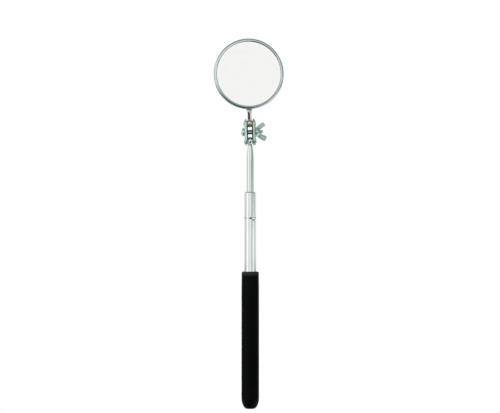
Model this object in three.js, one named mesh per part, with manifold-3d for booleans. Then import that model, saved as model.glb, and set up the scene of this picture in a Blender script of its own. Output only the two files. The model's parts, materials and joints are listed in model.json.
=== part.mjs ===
// A telescoping inspection mirror, in millimetres: a round framed mirror on a ball stud, two clamp
// plates squeezed on two balls by a bolt and wing nut, and an inner tube that slides and turns in
// the outer tube of a soft grip. +Z runs along the tubes to the mirror, the mirror looks to -Y and
// the wing nut is on the +X side. The origin is the middle of the grip, on the tubes' axis.
// Heights named *_Z are above the grip's bottom end, until the whole tool is lowered at the end.

import * as THREE from "three";
import { mergeVertices } from "three/addons/utils/BufferGeometryUtils.js";
import Module from "manifold-3d";

const wasm = await Module();
wasm.setup();

// Facets round a turned piece. All are multiples of four, so that its full radius lies on X and Y.
const TUBE_SIDES = 32;
const SMALL_SIDES = 24;
const CASE_SIDES = 64;
const BALL_RINGS = 12;
const ARC_STEPS = 5;

// Clearances
const FIT = 0.15;
const CUT_GAP = 0.3;

// Grip: a thick vinyl sleeve with a closed, blunt end
const GRIP_LENGTH = 111.5;
const GRIP_RADIUS = 7.15;
const GRIP_TOP_RADIUS = 6.85;
const GRIP_TAPER = 20;
const GRIP_NOSE = 9.1;
const GRIP_NOSE_FLAT = 2.6;
const GRIP_EDGE = 1;
const GRIP_FLOOR = 4;

// Outer tube, 3/8 in, with a rolled groove and a rolled-in mouth
const OUTER_RADIUS = 4.7625;
const OUTER_BORE = 4.0625;
const OUTER_BASE_Z = GRIP_FLOOR + FIT;
const OUTER_TOP_Z = 176.2;
const MOUTH_RADIUS = 3.3;
const LIP_ROUND = 1;
const GROOVE_Z = 154.1;
const GROOVE_DEPTH = 0.4;
const GROOVE_HALF = 0.9;
const GROOVE_FLAT = 0.3;

// Plug in the outer tube's foot, which stops the inner tube
const PLUG_LENGTH = 8;

// Guide bushing between the groove and the mouth
const BUSHING_BASE_Z = GROOVE_Z + 1.4;
const BUSHING_TOP_Z = OUTER_TOP_Z - 1.5;

// Inner tube, swaged to a neck at its top
const INNER_RADIUS = 3;
const INNER_BORE = 2.5;
const INNER_BASE_Z = 21.3;
const SWAGE_FOOT_Z = 201;
const SWAGE_TOP_Z = 213.7;
const NECK_TOP_RADIUS = 1.95;
const SWAGE_POWER = 1.9;
const SWAGE_STEPS = 7;
const PIN_GRIP_Z = 206.5;

// Two split spring collars in rolled grooves of the inner tube
const COLLAR_LENGTH = 7.6;
const COLLAR_GROOVE = 8;
const COLLAR_GROOVE_DEPTH = 0.3;
const COLLAR_SLIT = 1.2;
const COLLAR_BASES_Z = [22.8, 49];

// Ball joint: two 1/4 in balls
const BALL_RADIUS = 3.175;
const LOWER_BALL_Z = 217.5;
const BALL_SPACING = 14.2;
const BALL_PIN_RADIUS = 1.5;
const BALL_PIN_HEAD_RADIUS = 2.3;
const BALL_PIN_HEAD = 2.4;
const BALL_PIN_BASE_Z = 197;

// Clamp plates: flat strips with round ends, a cup pressed out over each ball and a boss pressed
// in round the bolt
const PLATE_INNER = 2.45;
const PLATE_THICKNESS = 1.75;
const PLATE_HALF_WIDTH = 4.3;
const PLATE_HALF_LENGTH = BALL_SPACING / 2 + 3.85;
const CUP_RADIUS = 5.2;
const CUP_RECESS = 3.45;
const BOSS_RISE = 0.8;
const BOSS_CORNERS = [{ y: 3.1, z: 3 }, { y: 2, z: 4.4 }];

// Bolt (No. 6, 32 threads to the inch), washer and wing nut
const BOLT_RADIUS = 1.75;
const BOLT_SQUARE = 3.5;
const BOLT_HOLE_RADIUS = 1.95;
const BOLT_HEAD_RADIUS = 3.6;
const BOLT_HEAD_HEIGHT = 2.85;
const BOLT_HEAD_CROWN = 1.8;
const BOLT_END_X = 10.4;
const WASHER_RADIUS = 4.1;
const WASHER_THICKNESS = 0.7;
const WASHER_GAP = 0.1;
const NUT_BASE_RADIUS = 3.7;
const NUT_TOP_RADIUS = 2.9;
const NUT_HEIGHT = 3.3;
const WING_ORIGIN_X = 2;
const WING_REACH = 11.8;
const WINGS = [
  { degrees: 33, reach: WING_REACH, width: 3.6 },
  { degrees: -29, reach: WING_REACH + 0.6, width: 4.2 },
];
const WING_START = 4.4;
const WING_THICKNESS = 1.6;
const WING_CORNER = 0.8;

// Mirror: 2 1/4 in over its case
const MIRROR_RADIUS = 28.575;
const MIRROR_HEIGHT = 54.3;
const CASE_WALL = 0.5;
const CASE_BACK_ROUND = 1;
const BEAD_WIDTH = 2.3;
const BEAD_HEIGHT = 1.1;
const PAD_THICKNESS = 0.8;
const GLASS_RADIUS = 27.2;
const GLASS_THICKNESS = 2;
const GLASS_BEVEL = 1.1;
const GLASS_BEVEL_DROP = 0.4;
const STACK_GAP = 0.1;
const PAD_BASE = CASE_WALL + STACK_GAP;
const GLASS_BASE = PAD_BASE + PAD_THICKNESS + STACK_GAP;
const GLASS_FACE = GLASS_BASE + GLASS_THICKNESS;

// Mirror stud: a 1/8 in wire, its end beaten flat and welded to the back of the case
const STUD_RADIUS = 1.5875;
const PADDLE_HALF_WIDTH = 3.6;
const PADDLE_HALF_DEPTH = 0.65;
const PADDLE_TOP = 24.5;
const SUPERELLIPSE = 3;

// How the joints stand at rest
const CLAMP_LEAN = THREE.MathUtils.degToRad(1.8);
const MIRROR_YAW = THREE.MathUtils.degToRad(8);

const FINISHES = {
  vinyl: { color: 0x0c0c0d, roughness: 0.5, metalness: 0 },
  chrome: { color: 0xd8dadc, roughness: 0.12, metalness: 1 },
  zinc: { color: 0xa9c1b6, roughness: 0.3, metalness: 1 },
  nickel: { color: 0xcabfb8, roughness: 0.18, metalness: 1 },
  brass: { color: 0xb89a4e, roughness: 0.35, metalness: 1 },
  nylon: { color: 0xd9d6c8, roughness: 0.6, metalness: 0 },
  felt: { color: 0x6d6d70, roughness: 0.95, metalness: 0 },
  mirror: { color: 0xf2f3f2, roughness: 0.02, metalness: 1 },
};

// One named piece of the tool
function piece(name, finish, geometry) {
  const made = new THREE.Mesh(geometry, new THREE.MeshStandardMaterial(FINISHES[finish]));
  made.name = name;
  return made;
}

// A solid turned about Z from an outline of [radius, height], which runs up the outside.
// A ring's outline comes back to its first point; a full solid's starts and ends on the axis.
function turned(outline, sides = TUBE_SIDES) {
  const points = outline.map(([radius, height]) => new THREE.Vector2(radius, height));
  return new THREE.LatheGeometry(points, sides).rotateX(Math.PI / 2);
}

// The same, turned about X, with the outline's heights along +X
function turnedAboutX(outline, sides = SMALL_SIDES) {
  return turned(outline, sides).rotateY(Math.PI / 2);
}

function cylinderOutline(radius, low, high) {
  return [[0, low], [radius, low], [radius, high], [0, high]];
}

function ringOutline(inner, outer, low, high) {
  return [[inner, low], [outer, low], [outer, high], [inner, high], [inner, low]];
}

// Points of a quarter of an ellipse round [radius, height], from one angle to another
function arc(radius, height, across, along, from, to, steps = ARC_STEPS) {
  return Array.from({ length: steps + 1 }, (_, step) => {
    const angle = THREE.MathUtils.lerp(from, to, step / steps);
    return [radius + across * Math.cos(angle), height + along * Math.sin(angle)];
  });
}

function solidOf(geometry) {
  const bare = geometry.clone().deleteAttribute("normal").deleteAttribute("uv");
  const merged = mergeVertices(bare, 1e-4);
  return new wasm.Manifold(
    new wasm.Mesh({
      numProp: 3,
      vertProperties: new Float32Array(merged.attributes.position.array),
      triVerts: new Uint32Array(merged.index.array),
    }),
  );
}

function geometryOf(solid) {
  const mesh = solid.getMesh();
  const geometry = new THREE.BufferGeometry();
  geometry.setAttribute("position", new THREE.BufferAttribute(mesh.vertProperties, 3));
  geometry.setIndex(new THREE.BufferAttribute(mesh.triVerts, 1));
  return geometry.toNonIndexed();
}

function ball(radius, z) {
  return new THREE.SphereGeometry(radius, SMALL_SIDES, BALL_RINGS).rotateX(Math.PI / 2).translate(0, 0, z);
}

// ---- Handle ----

function gripSleeve() {
  const bore = OUTER_RADIUS + FIT;
  const nose = arc(
    GRIP_NOSE_FLAT, GRIP_NOSE, GRIP_RADIUS - GRIP_NOSE_FLAT, GRIP_NOSE, -Math.PI / 2, 0,
  );
  const edge = arc(
    GRIP_TOP_RADIUS - GRIP_EDGE, GRIP_LENGTH - GRIP_EDGE, GRIP_EDGE, GRIP_EDGE, 0, Math.PI / 2,
  );
  return turned([
    [0, 0],
    ...nose,
    [GRIP_RADIUS, GRIP_LENGTH - GRIP_TAPER],
    ...edge,
    [bore, GRIP_LENGTH],
    [bore, GRIP_FLOOR],
    [0, GRIP_FLOOR],
  ]);
}

// The groove's four corners on a wall of the outer tube, from low to high
function groove(radius, depth) {
  return [
    [radius, GROOVE_Z - GROOVE_HALF],
    [radius - depth, GROOVE_Z - GROOVE_FLAT],
    [radius - depth, GROOVE_Z + GROOVE_FLAT],
    [radius, GROOVE_Z + GROOVE_HALF],
  ];
}

function outerTube() {
  const lip = arc(
    OUTER_RADIUS - LIP_ROUND, OUTER_TOP_Z - LIP_ROUND, LIP_ROUND, LIP_ROUND, 0, Math.PI / 2,
  );
  return turned([
    [OUTER_BORE, OUTER_BASE_Z],
    [OUTER_RADIUS, OUTER_BASE_Z],
    ...groove(OUTER_RADIUS, GROOVE_DEPTH),
    ...lip,
    [MOUTH_RADIUS, OUTER_TOP_Z],
    [MOUTH_RADIUS, OUTER_TOP_Z - LIP_ROUND],
    [OUTER_BORE, OUTER_TOP_Z - LIP_ROUND - FIT],
    ...groove(OUTER_BORE, GROOVE_DEPTH).reverse(),
    [OUTER_BORE, OUTER_BASE_Z],
  ]);
}

function endPlug() {
  return turned(cylinderOutline(OUTER_BORE - FIT, OUTER_BASE_Z, OUTER_BASE_Z + PLUG_LENGTH));
}

function guideBushing() {
  return turned(ringOutline(INNER_RADIUS + FIT, OUTER_BORE - FIT, BUSHING_BASE_Z, BUSHING_TOP_Z));
}

// ---- Inner tube and its collars ----

// A C-shaped ring, open on the +Y side
function frictionCollar(base) {
  const inner = INNER_RADIUS - COLLAR_GROOVE_DEPTH + FIT;
  const outer = OUTER_BORE - FIT;
  const ring = solidOf(turned(ringOutline(inner, outer, base, base + COLLAR_LENGTH), SMALL_SIDES));
  const slit = new THREE.BoxGeometry(COLLAR_SLIT, 2 * outer, 2 * COLLAR_LENGTH);
  return geometryOf(ring.subtract(solidOf(slit.translate(0, outer, base + COLLAR_LENGTH / 2))));
}

// Corners of a collar's seat, on the outer wall or, with the same depth, on the bore
function collarSeat(radius, base) {
  const slack = (COLLAR_GROOVE - COLLAR_LENGTH) / 2;
  const low = base - slack;
  const high = base + COLLAR_LENGTH + slack;
  return [
    [radius, low],
    [radius - COLLAR_GROOVE_DEPTH, low],
    [radius - COLLAR_GROOVE_DEPTH, high],
    [radius, high],
  ];
}

// The swaged shoulder: it leaves the tube smoothly and steepens to the neck
function shoulder() {
  return Array.from({ length: SWAGE_STEPS + 1 }, (_, step) => {
    const rise = step / SWAGE_STEPS;
    const radius = THREE.MathUtils.lerp(INNER_RADIUS, NECK_TOP_RADIUS, rise ** SWAGE_POWER);
    return [radius, THREE.MathUtils.lerp(SWAGE_FOOT_Z, SWAGE_TOP_Z, rise)];
  });
}

function innerTube() {
  const pinBore = BALL_PIN_RADIUS + FIT;
  const seats = COLLAR_BASES_Z.flatMap((base) => collarSeat(INNER_RADIUS, base));
  const ribs = COLLAR_BASES_Z.flatMap((base) => collarSeat(INNER_BORE, base));
  return turned(
    [
      [INNER_BORE, INNER_BASE_Z],
      [INNER_RADIUS, INNER_BASE_Z],
      ...seats,
      ...shoulder(),
      [pinBore, SWAGE_TOP_Z],
      [pinBore, PIN_GRIP_Z],
      [INNER_BORE, SWAGE_FOOT_Z],
      ...ribs.reverse(),
      [INNER_BORE, INNER_BASE_Z],
    ],
    SMALL_SIDES,
  );
}

// The headed pin that the neck grips, hollowed at its top to sit on the ball
function ballPin() {
  const shoulderZ = BALL_PIN_BASE_Z + BALL_PIN_HEAD;
  const pin = solidOf(
    turned(
      [
        [0, BALL_PIN_BASE_Z],
        [BALL_PIN_HEAD_RADIUS, BALL_PIN_BASE_Z],
        [BALL_PIN_HEAD_RADIUS, shoulderZ],
        [BALL_PIN_RADIUS, shoulderZ + CUT_GAP],
        [BALL_PIN_RADIUS, LOWER_BALL_Z],
        [0, LOWER_BALL_Z],
      ],
      SMALL_SIDES,
    ),
  );
  return geometryOf(pin.subtract(solidOf(ball(BALL_RADIUS + CUT_GAP, LOWER_BALL_Z))));
}

// ---- Clamp, in its own frame: the bolt's axis is X, the balls are above and below on Z ----

// A slab of the plate's outline, between two distances from the middle
function plateSlab(from, to) {
  const outline = new THREE.Shape();
  const straight = PLATE_HALF_LENGTH - PLATE_HALF_WIDTH;
  outline.absarc(0, straight, PLATE_HALF_WIDTH, 0, Math.PI);
  outline.absarc(0, -straight, PLATE_HALF_WIDTH, Math.PI, 2 * Math.PI);
  const slab = new THREE.ExtrudeGeometry(outline, {
    depth: to - from, bevelEnabled: false, curveSegments: SMALL_SIDES / 2,
  });
  return solidOf(slab.rotateX(Math.PI / 2).rotateZ(Math.PI / 2).translate(from, 0, 0));
}

// The middle of the plate, pressed inwards round the bolt hole
function plateBoss() {
  const rows = [
    [PLATE_INNER - BOSS_RISE, 0],
    [PLATE_INNER, BOSS_RISE],
    [PLATE_INNER + PLATE_THICKNESS / 2, BOSS_RISE],
  ];
  const quadrants = [[1, 1], [1, -1], [-1, 1], [-1, -1]];
  const corners = rows.flatMap(([x, slope]) =>
    BOSS_CORNERS.flatMap(({ y, z }) =>
      quadrants.map(([side, end]) => [x, side * (y + slope), end * (z + slope)]),
    ),
  );
  return wasm.Manifold.hull(corners);
}

// The plate on the +X side, with a hole made by the given cutter
function clampPlate(hole) {
  const outerFace = PLATE_INNER + PLATE_THICKNESS;
  const middle = new THREE.BoxGeometry(4 * CUP_RADIUS, 4 * CUP_RADIUS, BALL_SPACING);
  let trim = solidOf(middle);
  let cups = null;
  let recesses = solidOf(hole);
  for (const z of [-BALL_SPACING / 2, BALL_SPACING / 2]) {
    const roll = new THREE.CylinderGeometry(CUP_RADIUS, CUP_RADIUS, 4 * CUP_RADIUS, TUBE_SIDES);
    trim = trim.add(solidOf(roll.translate(0, 0, z)));
    const cup = solidOf(ball(CUP_RADIUS, z));
    cups = cups ? cups.add(cup) : cup;
    recesses = recesses.add(solidOf(ball(CUP_RECESS, z)));
  }
  const strip = plateSlab(PLATE_INNER, outerFace).intersect(trim);
  const domes = plateSlab(PLATE_INNER, CUP_RADIUS).intersect(cups);
  return geometryOf(strip.add(domes).add(plateBoss()).subtract(recesses));
}

function leftPlate() {
  const hole = new THREE.BoxGeometry(6 * PLATE_INNER, BOLT_SQUARE + 2 * FIT, BOLT_SQUARE + 2 * FIT);
  return clampPlate(hole).rotateZ(Math.PI);
}

function rightPlate() {
  const reach = 3 * PLATE_INNER;
  return clampPlate(turnedAboutX(cylinderOutline(BOLT_HOLE_RADIUS, -reach, reach)));
}

// Round head on the -X side, a square neck in the left plate, and the shank
function clampBolt() {
  const headX = -(PLATE_INNER + PLATE_THICKNESS + WASHER_GAP);
  const edgeX = headX - BOLT_HEAD_HEIGHT + BOLT_HEAD_CROWN;
  const turnedPart = turnedAboutX([
    [0, headX - BOLT_HEAD_HEIGHT],
    ...arc(0, edgeX, BOLT_HEAD_RADIUS, BOLT_HEAD_CROWN, -Math.PI / 2, 0).slice(1),
    [BOLT_HEAD_RADIUS, headX],
    [BOLT_RADIUS, headX],
    [BOLT_RADIUS, BOLT_END_X],
    [0, BOLT_END_X],
  ]);
  const neckLength = PLATE_THICKNESS + WASHER_GAP;
  const neck = new THREE.BoxGeometry(neckLength, BOLT_SQUARE, BOLT_SQUARE);
  neck.translate(headX + neckLength / 2, 0, 0);
  return geometryOf(solidOf(turnedPart).add(solidOf(neck)));
}

function washerX() {
  return PLATE_INNER + PLATE_THICKNESS + WASHER_GAP;
}

function nutWasher() {
  return turnedAboutX(
    ringOutline(BOLT_HOLE_RADIUS, WASHER_RADIUS, washerX(), washerX() + WASHER_THICKNESS),
  );
}

// One ear of the wing nut, from the point where both ears' middle lines meet. The lower ear is
// cast a little broader and less steep than the upper one.
function wing({ degrees, reach, width }) {
  const half = width / 2;
  const corner = WING_CORNER;
  const outline = new THREE.Shape();
  outline.moveTo(WING_START, -half);
  outline.lineTo(reach - corner, -half);
  outline.absarc(reach - corner, corner - half, corner, -Math.PI / 2, 0);
  outline.absarc(reach - corner, half - corner, corner, 0, Math.PI / 2);
  outline.lineTo(WING_START, half);
  const ear = new THREE.ExtrudeGeometry(outline, {
    depth: WING_THICKNESS, bevelEnabled: false, curveSegments: ARC_STEPS,
  });
  ear.translate(0, 0, -WING_THICKNESS / 2).rotateX(Math.PI / 2);
  return ear.rotateY(-THREE.MathUtils.degToRad(degrees)).translate(WING_ORIGIN_X, 0, 0);
}

function wingNut() {
  const base = washerX() + WASHER_THICKNESS + WASHER_GAP;
  let nut = solidOf(
    turnedAboutX([
      [0, base],
      [NUT_BASE_RADIUS, base],
      [NUT_BASE_RADIUS, base + NUT_HEIGHT / 4],
      [NUT_TOP_RADIUS, base + NUT_HEIGHT],
      [0, base + NUT_HEIGHT],
    ]),
  );
  for (const ear of WINGS) nut = nut.add(solidOf(wing(ear)));
  const bore = turnedAboutX(cylinderOutline(BOLT_HOLE_RADIUS, 0, 2 * WING_REACH));
  const overhang = new THREE.BoxGeometry(WING_REACH, 2 * WING_REACH, 2 * WING_REACH);
  overhang.translate(base - WING_REACH / 2, 0, 0);
  return geometryOf(nut.subtract(solidOf(bore)).subtract(solidOf(overhang)));
}

// ---- Mirror head, in its own frame: the ball is at the origin, the stud along Z ----

// A closed loft through superellipses of [half width, half depth, height, exponent]
function lofted(sections) {
  const positions = [];
  const faces = [];
  for (const [width, depth, height, exponent] of sections)
    for (let side = 0; side < SMALL_SIDES; side += 1) {
      const angle = (2 * Math.PI * side) / SMALL_SIDES;
      const power = 2 / exponent;
      const x = width * Math.sign(Math.cos(angle)) * Math.abs(Math.cos(angle)) ** power;
      const y = depth * Math.sign(Math.sin(angle)) * Math.abs(Math.sin(angle)) ** power;
      positions.push(x, y, height);
    }
  const last = (sections.length - 1) * SMALL_SIDES;
  for (let side = 0; side < SMALL_SIDES; side += 1) {
    const next = (side + 1) % SMALL_SIDES;
    for (let row = 0; row < last; row += SMALL_SIDES) {
      faces.push(row + side, row + next, row + SMALL_SIDES + next);
      faces.push(row + side, row + SMALL_SIDES + next, row + SMALL_SIDES + side);
    }
    if (side > 0 && side < SMALL_SIDES - 1) {
      faces.push(0, next, side);
      faces.push(last, last + side, last + next);
    }
  }
  const geometry = new THREE.BufferGeometry();
  geometry.setAttribute("position", new THREE.Float32BufferAttribute(positions, 3));
  geometry.setIndex(faces);
  return geometry;
}

function mirrorStud() {
  const rimZ = MIRROR_HEIGHT - BALL_SPACING - MIRROR_RADIUS;
  const wire = lofted([
    [STUD_RADIUS, STUD_RADIUS, 0, 2],
    [STUD_RADIUS, STUD_RADIUS, rimZ - 3, 2],
    [2, 1.25, rimZ - 1.5, 2],
    [2.6, PADDLE_HALF_DEPTH, rimZ, SUPERELLIPSE],
    [PADDLE_HALF_WIDTH, PADDLE_HALF_DEPTH, rimZ + 4, SUPERELLIPSE],
    [PADDLE_HALF_WIDTH, PADDLE_HALF_DEPTH, PADDLE_TOP - 2, SUPERELLIPSE],
    [0.7 * PADDLE_HALF_WIDTH, PADDLE_HALF_DEPTH, PADDLE_TOP - 0.6, SUPERELLIPSE],
    [0.3 * PADDLE_HALF_WIDTH, PADDLE_HALF_DEPTH, PADDLE_TOP, SUPERELLIPSE],
  ]);
  return geometryOf(solidOf(wire).subtract(solidOf(ball(BALL_RADIUS + CUT_GAP, 0))));
}

// Stands a disc turned about Z up, so that its +Z side looks to -Y, with z = 0 on the case's back
function facingFront(geometry) {
  const back = -(PADDLE_HALF_DEPTH + FIT);
  return geometry.rotateX(Math.PI / 2).translate(0, back, MIRROR_HEIGHT - BALL_SPACING);
}

// A spun cup whose lip is rolled in over the glass
function mirrorCase() {
  const inside = MIRROR_RADIUS - CASE_WALL;
  const beadFoot = GLASS_FACE + FIT;
  const half = BEAD_WIDTH / 2;
  return facingFront(
    turned(
      [
        [0, 0],
        [MIRROR_RADIUS - CASE_BACK_ROUND, 0],
        [MIRROR_RADIUS, CASE_BACK_ROUND],
        ...arc(MIRROR_RADIUS - half, beadFoot, half, BEAD_HEIGHT, 0, Math.PI, 2 * ARC_STEPS),
        [inside, beadFoot],
        [inside, CASE_WALL],
        [0, CASE_WALL],
      ],
      CASE_SIDES,
    ),
  );
}

function backingPad() {
  const outline = cylinderOutline(GLASS_RADIUS, PAD_BASE, PAD_BASE + PAD_THICKNESS);
  return facingFront(turned(outline, CASE_SIDES));
}

// A plate of glass with its front edge ground down to pass under the rolled lip
function mirrorGlass() {
  return facingFront(
    turned(
      [
        [0, GLASS_BASE],
        [GLASS_RADIUS, GLASS_BASE],
        [GLASS_RADIUS, GLASS_FACE - GLASS_BEVEL_DROP],
        [GLASS_RADIUS - GLASS_BEVEL, GLASS_FACE],
        [0, GLASS_FACE],
      ],
      CASE_SIDES,
    ),
  );
}

// ---- Assembly ----

function handle() {
  return [
    piece("grip_sleeve", "vinyl", gripSleeve()),
    piece("outer_tube", "chrome", outerTube()),
    piece("end_plug", "nylon", endPlug()),
    piece("guide_bushing", "nylon", guideBushing()),
  ];
}

function slidingTube() {
  return [
    ...COLLAR_BASES_Z.map((base, index) =>
      piece(`friction_collar_${["lower", "upper"][index]}`, "brass", frictionCollar(base)),
    ),
    piece("inner_tube", "chrome", innerTube()),
    piece("ball_pin", "nickel", ballPin()),
  ];
}

function clamp() {
  const group = new THREE.Group();
  group.position.z = BALL_SPACING / 2;
  group.add(
    piece("clamp_plate_left", "zinc", leftPlate()),
    piece("clamp_plate_right", "zinc", rightPlate()),
    piece("clamp_bolt", "zinc", clampBolt()),
    piece("nut_washer", "zinc", nutWasher()),
    piece("wing_nut", "zinc", wingNut()),
  );
  return group;
}

function mirrorHead() {
  const group = new THREE.Group();
  group.position.z = BALL_SPACING;
  group.rotation.z = MIRROR_YAW;
  group.add(
    piece("upper_ball", "nickel", ball(BALL_RADIUS, 0)),
    piece("mirror_stud", "nickel", mirrorStud()),
    piece("mirror_case", "chrome", mirrorCase()),
    piece("backing_pad", "felt", backingPad()),
    piece("mirror_glass", "mirror", mirrorGlass()),
  );
  return group;
}

// Everything above the lower ball leans with the clamp
const leaning = new THREE.Group();
leaning.position.z = LOWER_BALL_Z;
leaning.rotation.y = -CLAMP_LEAN;
leaning.add(piece("lower_ball", "nickel", ball(BALL_RADIUS, 0)), clamp(), mirrorHead());

const upright = new THREE.Group();
upright.position.z = -GRIP_LENGTH / 2;
upright.add(...handle(), ...slidingTube(), leaning);

const inspectionMirror = new THREE.Group();
inspectionMirror.add(upright);

export default inspectionMirror;
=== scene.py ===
import json
import math

import bmesh
import bpy
from mathutils import Matrix, Vector

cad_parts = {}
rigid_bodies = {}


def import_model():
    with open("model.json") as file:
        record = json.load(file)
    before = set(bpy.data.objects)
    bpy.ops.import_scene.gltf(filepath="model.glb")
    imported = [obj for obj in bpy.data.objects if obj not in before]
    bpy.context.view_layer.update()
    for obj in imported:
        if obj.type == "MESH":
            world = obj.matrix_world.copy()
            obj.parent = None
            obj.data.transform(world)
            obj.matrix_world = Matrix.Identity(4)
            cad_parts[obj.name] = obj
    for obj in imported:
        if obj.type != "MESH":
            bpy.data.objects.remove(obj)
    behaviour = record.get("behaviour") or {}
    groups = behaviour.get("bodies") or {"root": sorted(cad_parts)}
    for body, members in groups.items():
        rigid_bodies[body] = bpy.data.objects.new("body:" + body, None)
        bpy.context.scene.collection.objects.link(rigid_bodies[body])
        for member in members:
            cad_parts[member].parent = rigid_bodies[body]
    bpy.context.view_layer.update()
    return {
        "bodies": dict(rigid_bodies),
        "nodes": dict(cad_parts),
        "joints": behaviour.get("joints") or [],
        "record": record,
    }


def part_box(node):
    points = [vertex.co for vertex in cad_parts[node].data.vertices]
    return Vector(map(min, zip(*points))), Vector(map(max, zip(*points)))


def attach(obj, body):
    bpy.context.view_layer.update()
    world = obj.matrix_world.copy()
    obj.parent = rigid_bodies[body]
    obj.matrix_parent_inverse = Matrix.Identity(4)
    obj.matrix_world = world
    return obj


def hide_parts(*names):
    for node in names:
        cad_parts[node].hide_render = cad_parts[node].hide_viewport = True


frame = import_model()

MM = 0.001
TAU = 2 * math.pi

# ---- Frames: the handle stands on Z, the clamp on its bolt, the mirror head on the upper ball ----

joints = {joint["name"]: joint for joint in frame["joints"]}
mounts = {mount["name"]: mount for mount in frame["record"]["mounts"]}

LOWER_BALL = Vector(joints["lower_ball_swing"]["pos_m"])
UPPER_BALL = Vector(joints["upper_ball_swing"]["pos_m"])
BOLT_AXIS = Vector(joints["wing_nut_turn"]["axis"]).normalized()
GRIP_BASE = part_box("grip_sleeve")[0].z
MIRROR_NORMAL = Vector(mounts["mirror_face"]["axis"]).normalized()


def placed(origin, x_axis, z_axis):
    """A frame at a point, turned to two axes at right angles."""
    y_axis = z_axis.cross(x_axis).normalized()
    turn = Matrix((x_axis, y_axis, z_axis)).transposed().to_4x4()
    return Matrix.Translation(origin) @ turn


leaning_up = (UPPER_BALL - LOWER_BALL).normalized()
HANDLE_FRAME = Matrix.Translation((0, 0, GRIP_BASE))
LOWER_BALL_FRAME = placed(LOWER_BALL, BOLT_AXIS, leaning_up)
CLAMP_FRAME = placed((LOWER_BALL + UPPER_BALL) / 2, BOLT_AXIS, leaning_up)
MIRROR_FRAME = placed(UPPER_BALL, leaning_up.cross(MIRROR_NORMAL), leaning_up)
BALL_SPACING = (UPPER_BALL - LOWER_BALL).length / MM
BALL_HALF = BALL_SPACING / 2
LOWER_BALL_Z = (LOWER_BALL.z - GRIP_BASE) / MM


def local_box(node, matrix):
    """A CAD node's lowest and highest corners in one of these frames, in millimetres."""
    inverse = matrix.inverted()
    points = [inverse @ v.co / MM for v in frame["nodes"][node].data.vertices]
    return [Vector([pick(p[i] for p in points) for i in range(3)]) for pick in (min, max)]


# ---- Mesh helpers ----


def finish_mesh(name, verts, faces, matrix, sharp=40):
    """A smooth shaded object from points in millimetres, its faces turned outwards."""
    mesh = bpy.data.meshes.new(name)
    mesh.from_pydata([tuple(c * MM for c in v) for v in verts], [], faces)
    mesh.transform(matrix)
    sides = bmesh.new()
    sides.from_mesh(mesh)
    bmesh.ops.remove_doubles(sides, verts=sides.verts, dist=1e-7)
    bmesh.ops.dissolve_degenerate(sides, dist=1e-8, edges=sides.edges)
    bmesh.ops.recalc_face_normals(sides, faces=sides.faces)
    sides.to_mesh(mesh)
    sides.free()
    mesh.shade_smooth()
    mesh.set_sharp_from_angle(angle=math.radians(sharp))
    obj = bpy.data.objects.new(name, mesh)
    bpy.context.scene.collection.objects.link(obj)
    weighted = obj.modifiers.new("flat faces stay flat", "WEIGHTED_NORMAL")
    weighted.keep_sharp = True
    return obj


def skin(name, rings, matrix, loop=False, around=True, sharp=40):
    """Joins rings of points. A ring of one point is a pole; loop joins the last to the first."""
    verts, starts, faces = [], [], []
    for ring in rings:
        starts.append(len(verts))
        verts.extend(ring)
    count = len(rings)
    for i in range(count if loop else count - 1):
        a, b = rings[i], rings[(i + 1) % count]
        sa, sb = starts[i], starts[(i + 1) % count]
        size = max(len(a), len(b))
        for k in range(size if around else size - 1):
            n = (k + 1) % size
            if len(a) == 1:
                faces.append((sa, sb + n, sb + k))
            elif len(b) == 1:
                faces.append((sa + k, sa + n, sb))
            else:
                faces.append((sa + k, sa + n, sb + n, sb + k))
    return finish_mesh(name, verts, faces, matrix, sharp)


def softened(points, steps=4):
    """Rounds the corners of an outline. A point is (radius, height, corner radius)."""
    closed = points[0][:2] == points[-1][:2]
    core = points[:-1] if closed else points
    out = []
    count = len(core)
    for i, point in enumerate(core):
        here = Vector(point[:2])
        round_by = point[2] if len(point) > 2 else 0
        if round_by == 0 or (not closed and i in (0, count - 1)):
            out.append(tuple(here))
            continue
        before = Vector(core[i - 1][:2]) - here
        after = Vector(core[(i + 1) % count][:2]) - here
        reach = min(round_by, 0.48 * before.length, 0.48 * after.length)
        first = here + before.normalized() * reach
        last = here + after.normalized() * reach
        for step in range(steps + 1):
            t = step / steps
            out.append(tuple(first * (1 - t) ** 2 + here * 2 * t * (1 - t) + last * t * t))
    if closed:
        out.append(out[0])
    return out


def angles(count):
    return [TAU * k / count for k in range(count)]


def arc(radius, height, across, along, start, end, steps):
    """Points of part of an ellipse round (radius, height), between two angles in degrees."""
    points = []
    for step in range(steps + 1):
        angle = math.radians(start + (end - start) * step / steps)
        points.append((radius + across * math.cos(angle), height + along * math.sin(angle)))
    return points


def lathe(name, outline, matrix, sides=128, sharp=40, axis="Z"):
    """Turns an outline of (radius, height) about an axis."""
    loop = outline[0] == outline[-1]
    rings = []
    for radius, height in outline[:-1] if loop else outline:
        turned = [(radius * math.cos(a), radius * math.sin(a)) for a in angles(sides)]
        if radius < 1e-6:
            turned = [(0, 0)]
        rings.append([on_axis(x, y, height, axis) for x, y in turned])
    return skin(name, rings, matrix, loop=loop, sharp=sharp)


def on_axis(x, y, height, axis):
    return (x, y, height) if axis == "Z" else (height, x, y)


def smooth_max(a, b, blend):
    """The larger of two numbers, with the crease between them rounded."""
    h = max(0.0, min(1.0, 0.5 + 0.5 * (a - b) / blend))
    return b + (a - b) * h + blend * h * (1 - h)


def smooth_min(a, b, blend):
    return -smooth_max(-a, -b, blend)


def fade(value, full, none):
    """One up to the first value, nothing past the second, smooth between."""
    t = max(0, min(1, (none - value) / (none - full)))
    return t * t * (3 - 2 * t)


# the clamp plates' inner and outer faces, from the clamp's middle
PLATE_INNER = 2.45
PLATE_OUTER = 4.2

# ---- Materials ----


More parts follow.
